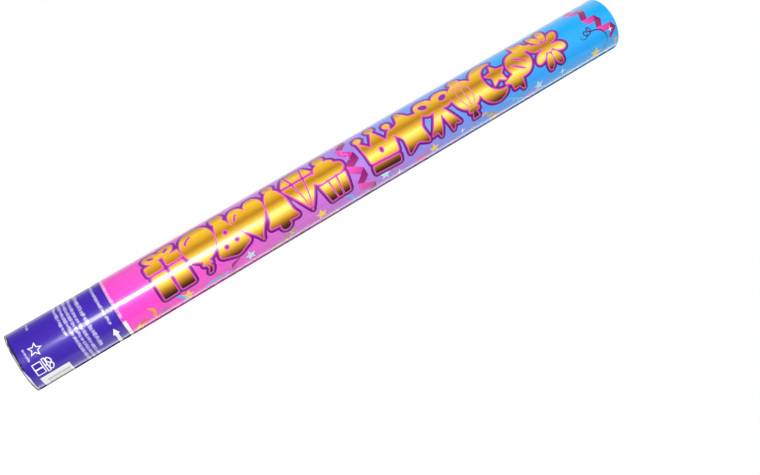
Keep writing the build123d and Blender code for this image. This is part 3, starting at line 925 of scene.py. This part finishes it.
FINISHES = [
    ("tube_board", board, (242, 240, 238), (216, 212, 208), True),
    ("coupling_plastic", moulded, (236, 236, 232), 0.42),
    ("cam_steel", metal, (158, 158, 160), 0.42),
    ("diffuser_plastic", moulded, (44, 44, 47), 0.45),
    ("bottle_plastic", moulded, (232, 234, 238), 0.3),
    ("head_plastic", moulded, (226, 84, 64), 0.38),
    ("seal_rubber", moulded, (26, 26, 27), 0.62),
    ("piston_brass", metal, (212, 172, 96), 0.26, (1, 1, 6)),
    ("ball_steel", metal, (214, 214, 218), 0.08),
    ("valve_brass", metal, (214, 176, 100), 0.26, (1, 1, 6)),
    ("valve_steel", metal, (182, 182, 186), 0.3, (1, 1, 5)),
    ("wad_foam", foamed, (238, 238, 235)),
    ("grey_card", board, (190, 184, 174), (160, 152, 142)),
    ("slip_pink", tissue, (216, 110, 172)),
    ("slip_coral", tissue, (240, 96, 92)),
    ("slip_blue", tissue, (108, 192, 218)),
    ("slip_mint", tissue, (170, 228, 198)),
    ("slip_cream", tissue, (242, 212, 134)),
    ("slip_silver", foil, (228, 228, 234), 0.6),
    ("slip_gold", foil, (240, 182, 64), 0.6),
    ("plug_foil", foil, (224, 224, 230), 0.9),
]
MATERIALS = {name: make(name, *looks) for name, make, *looks in FINISHES}
for subpart in frame["record"]["subparts"]:
    finish = MATERIALS.get(subpart["material_slot"])  # the labels' slots aren't among them
    if finish:
        slots = frame["nodes"][subpart["node"]].data.materials
        slots.clear()
        slots.append(finish)

PRINT = printed_paper("printed_paper")
CORE = board("paper_core", (240, 236, 230), (222, 216, 208))


# ---- The barrel's wrap ----
def barrel_ground(p):
    """Pink at the twist line, violet midway, blue at the muzzle, on a slant round the tube."""
    slant = 34 * np.cos((p[:, 1] / PER_DEGREE - SEAM_ANGLE) * pi / 180)
    return ramp(SKY, np.clip(p[:, 0] + slant, SKY[0][0], SKY[-1][0]))


def small_print(art, columns, seed):
    """Rows of plain ticks in groups, where small print would be."""
    rng = random.Random(seed)
    for x, height, start, end in columns:
        t = start
        while t < end - 1:
            for _ in range(rng.randint(2, 8)):
                low = x - height * rng.choice([0.5, 0.5, 0.3])
                high = x + height * rng.choice([0.5, 0.3, 0.3])
                if t < end:
                    art.fill(rect(low, t, high, t + 0.5), SMALL_PRINT)
                t += rng.choice([0.75, 0.95])
            t += 0.6


def barrel_art():
    art = Artwork(JOINT_HIGH, MUZZLE)
    ornaments(art, flip=False)
    ornaments(art, flip=True)
    small_print(art, [(83.8, 2.5, -9, 45), (83.8, 2.5, -112, -60)], 5)
    art.fill(rect(82.4, -44, 85.4, -13), WHITE)  # the bar that the grip's arrow points at
    back_row = FRONT_ROW[7:] + FRONT_ROW[:7]
    for motif in gold_row(BAND_LOW, FRONT_ROW) + gold_row(to_back(BAND_LOW), back_row):
        art.motif(*motif)
    return art


barrel_wrap = printed_wrap("barrel_wrap", barrel_art(), barrel_ground)
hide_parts("barrel_label")
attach(barrel_wrap, "barrel")


# ---- The grip's wrap ----
def grip_ground(p):
    return np.broadcast_to(linear(INDIGO), (len(p), 3)).copy()


def torn_edge(t):
    """The grip label's lower edge, with the small chips that cutting leaves."""
    slow = sin(t * 0.31) + 0.6 * sin(t * 0.83 + 1)
    sharp = sin(t * 5.3) * sin(t * 3.1 + 2) + 0.5 * sin(t * 9.7)
    toward = cos(radians(t / PER_DEGREE + 75))
    bare = 1.2 / (1 + exp((0.57 - toward) / 0.05))
    return 1.05 + bare + 0.1 * slow + 0.2 * max(0, sharp)


# one dark jagged mark along the label's lower edge, as (share of its length, share of its reach)
EDGE_JAG = [(0.04, 0.5), (0.2, 1), (0.36, 0.75), (0.55, 0.95), (0.72, 0.6), (0.9, 0.85)]
EDGE_JAG += [(0.97, 0.4)]
EDGE_DARK, BAR_INK = (26, 22, 36), (108, 108, 118)
# between these places, low in the photograph, the dark marks are small and few
FEW_LOW, FEW_HIGH = -60, -9


def grip_art():
    art = Artwork(0.2, JOINT_LOW, torn_edge)
    rng = random.Random(8)
    # dark jagged marks along the label's lower edge, larger and closer together on its upper side
    t = SHEET_LOW + 1
    while t < SHEET_HIGH - 6:
        upper = t > FEW_HIGH or t < FEW_LOW
        length = rng.uniform(1.5, 5) if upper else rng.uniform(0.8, 2)
        reach = rng.choice([1.5, 1.9, 2.2]) if upper else rng.choice([0.3, 0.45, 0.6])
        jag = [(torn_edge(t + length * u) + reach * v, t + length * u) for u, v in EDGE_JAG]
        art.fill([(0.1, t), *jag, (0.1, t + length)], EDGE_DARK)
        t += length + (rng.choice([0.1, 0.2, 0.6]) if upper else rng.choice([2, 4, 7]))
    rows = [(42, 2.8, 1, 46), (46.3, 2.8, -34, 46), (50.4, 2.8, -38, 46)]
    rows += [(54.6, 2.8, -37, 46), (60.2, 3.4, -22, 46), (74.4, 2.7, -9, 46)]
    rows += [(x, h, max(a - 84, -112), b - 86) for x, h, a, b in rows]
    rows += [(8.8, 2, -2, 9), (18.4, 2, 23, 31)]
    small_print(art, rows, 11)
    for base in (0, -84):  # the arrow that shows the way to twist, in front and behind
        art.fill([(71, base - 20), (77, base - 20), (74, base - 13.6)], WHITE)
        art.fill(rect(72.6, base - 38, 75.4, base - 20), WHITE)
    for outer, inner, colour in [(6, 2.7, WHITE), (4.2, 1.9, INDIGO)]:
        art.fill(star(16.6, 4.2, outer, inner, 5, 0), colour)
    for x0, t0, x1, t1 in [(8, -16.6, 15.4, -5.4), (16.2, -17.4, 19, -4.6)]:
        art.fill(rect(x0, t0, x1, t1), WHITE)
        art.fill(rect(x0 + 0.8, t0 + 0.8, x1 - 0.8, t1 - 0.8), INDIGO)
        art.fill(rect(x0 + 0.4, -11.7, x1 - 0.4, -10.3), WHITE)
    for t, tilt in [(-8.2, 25), (-13.8, -25)]:
        art.fill(oval(20.9, t, 2, 3.1, tilt), WHITE)
        art.fill(oval(20.9, t, 1.1, 2.1, tilt), INDIGO)
    art.fill(rect(7.8, -42, 32.6, -19.5), WHITE)
    for row in range(5):
        for k in range(13):
            x, t = 12.4 + 1.45 * k, -40.2 + 3.4 * row
            art.fill(rect(x, t, x + 0.75, t + 1.9), BAR_INK)
    return art


grip_wrap = printed_wrap("grip_wrap", grip_art(), grip_ground)
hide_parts("grip_label")
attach(grip_wrap, "grip")


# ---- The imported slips, the valve's spring and the foil on the muzzle's plug ----
SLIP_PITCH, SLIP_THICK = 0.44, 0.28
SIDE_PLAY, END_PLAY = 0.7, 1.4  # how far a slip may fall short of its bunch
SLIP_BAYS = 8


def solids_of(node):
    """Lowest and highest corners, in millimetres, of the separate solids in a CAD node."""
    mesh = frame["nodes"][node].data
    places = read(mesh.vertices, "co", 3) / MM
    first = {}
    group = [first.setdefault(tuple(np.round(p, 2)), k) for k, p in enumerate(places)]

    def top(v):
        while group[v] != v:
            v = group[v]
        return v

    for edge in mesh.edges:
        a, b = (top(v) for v in edge.vertices)
        group[max(a, b)] = min(a, b)
    owner = np.array([top(v) for v in range(len(places))])
    return [(places[owner == k].min(0), places[owner == k].max(0)) for k in sorted(set(owner))]


def slip_stack(node, slot):
    """A CAD node's bunches as single slips, each a little out of line with the next."""
    rng = random.Random(node)
    points, faces = [], []
    for low, high in solids_of(node):
        thin = 0 if high[0] - low[0] < high[1] - low[1] else 1
        wide = 1 - thin
        count = max(2, round((high[thin] - low[thin]) / SLIP_PITCH))
        pitch = (high[thin] - low[thin]) / count
        for k in range(count):
            left = low[wide] + rng.uniform(0, SIDE_PLAY)
            right = high[wide] - rng.uniform(0, SIDE_PLAY)
            bottom, above = low[2] + rng.uniform(0, END_PLAY), high[2] - rng.uniform(0, END_PLAY)
            phase, first = rng.uniform(0, 6.3), len(points)
            for row in range(SLIP_BAYS + 1):
                z = bottom + (above - bottom) * row / SLIP_BAYS
                middle = low[thin] + pitch * (k + 0.5) + 0.06 * sin(0.32 * z + phase)
                for side, depth in [(left, -1), (right, -1), (right, 1), (left, 1)]:
                    place = [0, 0, z]
                    place[wide], place[thin] = side, middle + depth * SLIP_THICK / 2
                    points.append([v * MM for v in place])
            for row in range(SLIP_BAYS):
                a = first + 4 * row
                for j, n in enumerate((1, 2, 3, 0)):
                    faces.append((a + j, a + n, a + 4 + n, a + 4 + j))
            top = first + 4 * SLIP_BAYS
            faces += [(first + 3, first + 2, first + 1, first), (top, top + 1, top + 2, top + 3)]
    made = plain_piece(node.replace("slips", "slip_stack"), points, faces, MATERIALS[slot])
    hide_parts(node)
    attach(made, "charge")


def plain_piece(name, points, faces, material):
    mesh = bpy.data.meshes.new(name)
    mesh.from_pydata(points, [], faces)
    shell = bmesh.new()
    shell.from_mesh(mesh)
    bmesh.ops.recalc_face_normals(shell, faces=shell.faces)
    shell.to_mesh(mesh)
    shell.free()
    mesh.materials.append(material)
    return placed(name, mesh)


for colour in ["pink", "coral", "blue", "mint", "cream", "silver", "gold"]:
    slip_stack("slips_" + colour, "slip_" + colour)


def ring_faces(a, b, count):
    """The faces between two rings of vertices, the first from a on and the other from b on."""
    return [(a + j, b + j, b + (j + 1) % count, a + (j + 1) % count) for j in range(count)]


WIRE = 0.2  # radius


def valve_coil():
    """The valve's return spring, coiled in its CAD sleeve."""
    low, high = span("valve_spring")
    radius = float(high[0]) - 0.25
    turns, per_turn, sides, flat_share = 4.4, 24, 8, 0.14
    total = round(turns * per_turn)
    points, faces = [], []
    for k in range(total + 1):
        a = 2 * pi * k / per_turn
        climb = min(max((k / total - flat_share) / (1 - 2 * flat_share), 0), 1)
        z = low[2] + WIRE + (high[2] - low[2] - 2 * WIRE) * climb
        for j in range(sides):
            b = 2 * pi * j / sides
            r, up = radius + WIRE * cos(b), z + WIRE * sin(b)
            points.append((r * cos(a) * MM, r * sin(a) * MM, up * MM))
    for k in range(total):
        faces += ring_faces(k * sides, (k + 1) * sides, sides)
    faces += [tuple(range(sides)), tuple(range(len(points) - 1, len(points) - sides - 1, -1))]
    made = plain_piece("valve_coil", points, faces, MATERIALS["valve_steel"])
    made.data.shade_smooth()
    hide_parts("valve_spring")
    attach(made, "valve_core")
    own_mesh(made)


valve_coil()


def foil_face():
    """The foil on the plug: a thin closed sheet with creases pressed into it."""
    _, high = span("muzzle_plug")
    radius, base = float(high[0]) - 0.05, float(high[2])
    rng = random.Random(21)
    folds = [(rng.uniform(0, 6.3), rng.uniform(0.08, 0.3), rng.uniform(0, 6.3)) for _ in range(4)]
    rings, spokes = 22, 96
    points = [(0, 0, (base + 0.3) * MM)]
    for k in range(1, rings + 1):
        r = radius * k / rings
        for j in range(spokes):
            a = 2 * pi * (j + 0.5 * (k % 2)) / spokes
            x, y = r * cos(a), r * sin(a)
            ups = [abs(sin((x * cos(w) + y * sin(w)) * f + p)) for w, f, p in folds]
            height = base + 0.12 + 0.55 * sum(ups) / len(ups) * min(1, 4 * (1 - k / rings) + 0.25)
            height += 0.12 * abs(sin(9 * a + 1.3 * sin(4 * a))) * (k / rings) ** 6
            points.append((x * MM, y * MM, height * MM))
    faces = [(0, 1 + j, 1 + (j + 1) % spokes) for j in range(spokes)]
    for k in range(rings - 1):
        faces += ring_faces(1 + k * spokes, 1 + (k + 1) * spokes, spokes)
    low = len(points)
    points += [(x, y, base * MM) for x, y, _ in points[-spokes:]]
    faces += ring_faces(low - spokes, low, spokes)
    faces.append(tuple(range(low + spokes - 1, low - 1, -1)))
    made = plain_piece("plug_foil_face", points, faces, MATERIALS["plug_foil"])
    made.data.shade_smooth()
    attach(made, "muzzle_plug")


foil_face()


# ---- Floor, light and camera ----
FLOOR_GLOW = 0.75  # what the floor needs beside its own light to be as white as the background
FLOOR_GREY = (0.7, 0.7, 0.7, 1)  # the floor's colour for the light that it throws back
DAYLIGHT = 0.30
FLOOR_LOOKS = {"Roughness": 0.9, "Specular_IOR_Level": 0, "Emission_Color": (1, 1, 1, 1)}


floor_mesh = bpy.data.meshes.new("floor")
floor_mesh.from_pydata([(-6, -6, 0), (6, -6, 0), (6, 6, 0), (-6, 6, 0)], [], [(0, 1, 2, 3)])
floor = placed("floor", floor_mesh)
floor.visible_glossy = False
floor_material, tree, shader = finish_of("floor", **FLOOR_LOOKS)
path = add(tree, "LightPath").outputs
seen = calc(tree, "MAXIMUM", path["Is Camera Ray"], path["Is Glossy Ray"])
seen = calc(tree, "MAXIMUM", seen, path["Is Transmission Ray"])
lit = grey(tree, band(tree, noise(tree, 30, 2), 0.3, 0.7, 0.98, 1))
connect(tree, shader.inputs["Base Color"], mix(tree, seen, FLOOR_GREY, lit))
connect(tree, shader.inputs["Emission Strength"], calc(tree, "MULTIPLY", seen, FLOOR_GLOW))
floor_mesh.materials.append(floor_material)


# What gloss sees at each bearing, in degrees from the camera's side: (bearing, level)
LOWER_SIDE = [(-180, 0), (-136, 0), (-132, 4.5), (-127, 1.6), (-118, 0.8), (-90, 0.62)]
LOWER_SIDE += [(-68, 0.56), (-63, 0.05)]
GLOSS_LOW = LOWER_SIDE + [(80, 0.05), (104, 0.12), (124, 0.36), (142, 0.9), (160, 1), (180, 1.4)]
GLOSS_HIGH = LOWER_SIDE + [(62, 0.05), (92, 0.6), (124, 0.9), (142, 1), (160, 1), (180, 1)]


def gloss_level(tree, share, stops):
    """The level at a bearing, given as a share of the full turn."""
    curve = add(tree, "FloatCurve", {"Value": share})
    curve.mapping.use_clip = False
    points = curve.mapping.curves[0].points
    while len(points) < len(stops):
        points.new(0.5, 0.5)
    for point, (degrees, level) in zip(points, stops):
        point.location = ((degrees + 180) / 360, level)
        point.handle_type = "VECTOR"
    curve.mapping.update()
    return curve.outputs["Value"]


# White behind everything. Gloss sees pale walls all round but for a dim camera side.
world = bpy.data.worlds.new("studio")
scene.world = world
world.use_nodes = True
tree = world.node_tree
way = add(tree, "SeparateXYZ", {"Vector": add(tree, "TexCoord").outputs["Generated"]}).outputs
back_x, back_y = (calc(tree, "MULTIPLY", way[axis], -1) for axis in "XY")
angle = calc(tree, "MULTIPLY", calc(tree, "ARCTAN2", back_x, back_y), 180 / pi)
share = calc(tree, "DIVIDE", calc(tree, "ADD", angle, 180), 360)
level_low, level_high = (gloss_level(tree, share, stops) for stops in (GLOSS_LOW, GLOSS_HIGH))
gloss = mix_level(tree, band(tree, way["Z"], 0, 0.5), level_low, level_high)
path = add(tree, "LightPath").outputs
shiny = calc(tree, "MAXIMUM", path["Is Glossy Ray"], path["Is Transmission Ray"])
plain = calc(tree, "MAXIMUM", path["Is Camera Ray"], DAYLIGHT)
background = tree.nodes["Background"].inputs
connect(tree, background["Strength"], mix_level(tree, shiny, plain, gloss))
background["Color"].default_value = (1, 1, 1, 1)
world.cycles.sampling_method = "NONE"


def level_view(place, aim):
    """Directions to the right of, above and along a view that isn't rolled."""
    forward = (Vector(aim) - Vector(place)).normalized()
    side = forward.cross(Vector((0, 0, 1))).normalized()
    return side, side.cross(forward), forward


def stand(made, place, right, up, forward):
    """Puts a lamp or camera at its place, looking forward."""
    made.matrix_world = Matrix((right, up, -forward)).transposed().to_4x4()
    made.location = place


def lamp(name, place, aim, width, height, watts):
    """A soft rectangular lamp; its height stays upright."""
    data = bpy.data.lights.new(name, "AREA")
    data.shape = "RECTANGLE"
    data.size, data.size_y, data.energy = width, height, watts
    made = placed(name, data)
    stand(made, place, *level_view(place, aim))
    made.visible_camera = False
    return made


for name, z, height, watts in [
    ("flash", 0.145, 0.17, 2.3),
    ("flash_low", 0.02, 0.08, 0.55),
    ("flash_high", 0.27, 0.08, 0.40),
]:
    lamp(name, (-0.080, -0.715, z), (0, 0, z), 0.17, height, watts)
for name, place, size, watts in [
    ("key", (-0.08, -0.8, 0.95), 1, 4.9),
    ("back", (0, 1.5, 0.9), 1, 11),
    ("side", (1.5, 0.7, 0.8), 0.9, 1.2),
    ("other_side", (-1.5, 0.5, 0.8), 0.9, 6.5),
]:
    made = lamp(name, place, (0, 0, 0.3), size, size, watts)
    made.visible_glossy = False

camera_data = bpy.data.cameras.new("camera")
camera_data.lens = 42.306
camera_data.sensor_width = 36.0
camera_data.clip_start, camera_data.clip_end = 0.01, 50.0
camera = placed("camera", camera_data)
scene.camera = camera
CAMERA_PLACE = Vector((0.0, -0.764345, 0.112285))
CAMERA_AIM = Vector((0.063925, 0.0, 0.305805))
CAMERA_ROLL = radians(-58.4917)
level_right, level_up, forward = level_view(CAMERA_PLACE, CAMERA_AIM)
up = level_up * cos(CAMERA_ROLL) + level_right * sin(CAMERA_ROLL)
stand(camera, CAMERA_PLACE, forward.cross(up), up, forward)
scene.view_settings.view_transform = "Standard"
